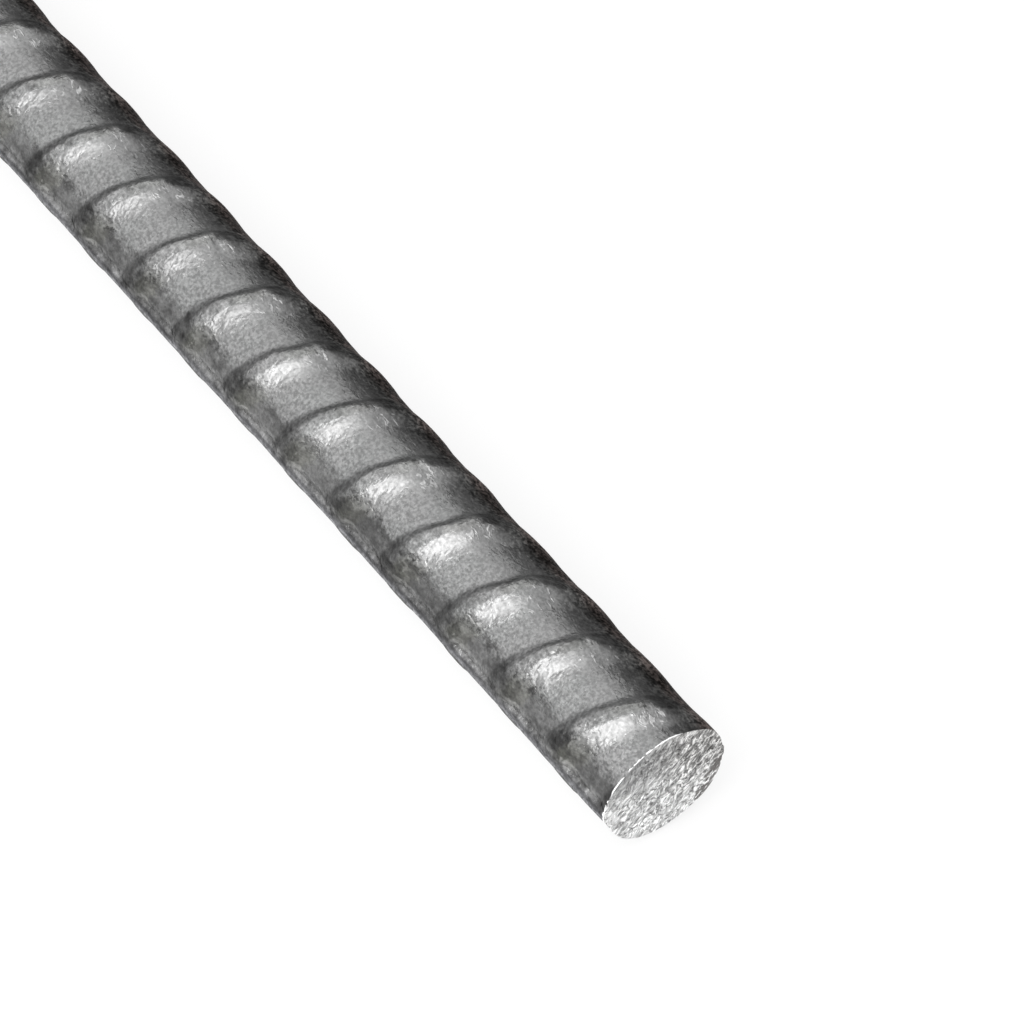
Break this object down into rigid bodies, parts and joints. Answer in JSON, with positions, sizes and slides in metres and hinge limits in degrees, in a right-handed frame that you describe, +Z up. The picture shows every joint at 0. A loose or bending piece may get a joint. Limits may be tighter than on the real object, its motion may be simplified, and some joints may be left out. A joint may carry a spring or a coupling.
{
  "type": "reinforcing bar",
  "caption": "Round hot-rolled steel bar with longitudinal and transverse ribs, cut square at both ends.",
  "frame": {"origin": "centre of the bar's footprint, on the surface it lies on", "axes": "+X along the bar, +Y across it towards one longitudinal rib, +Z up, half way between the longitudinal ribs"},
  "size_m": [0.6096, 0.013, 0.012],
  "materials": {
    "mill_scale": "hot-rolled steel with dark grey mill scale and bare, coarse cut ends"
  },
  "bodies": {
    "root": {"reinforcing_bar": "mill_scale"}
  },
  "joints": []
}
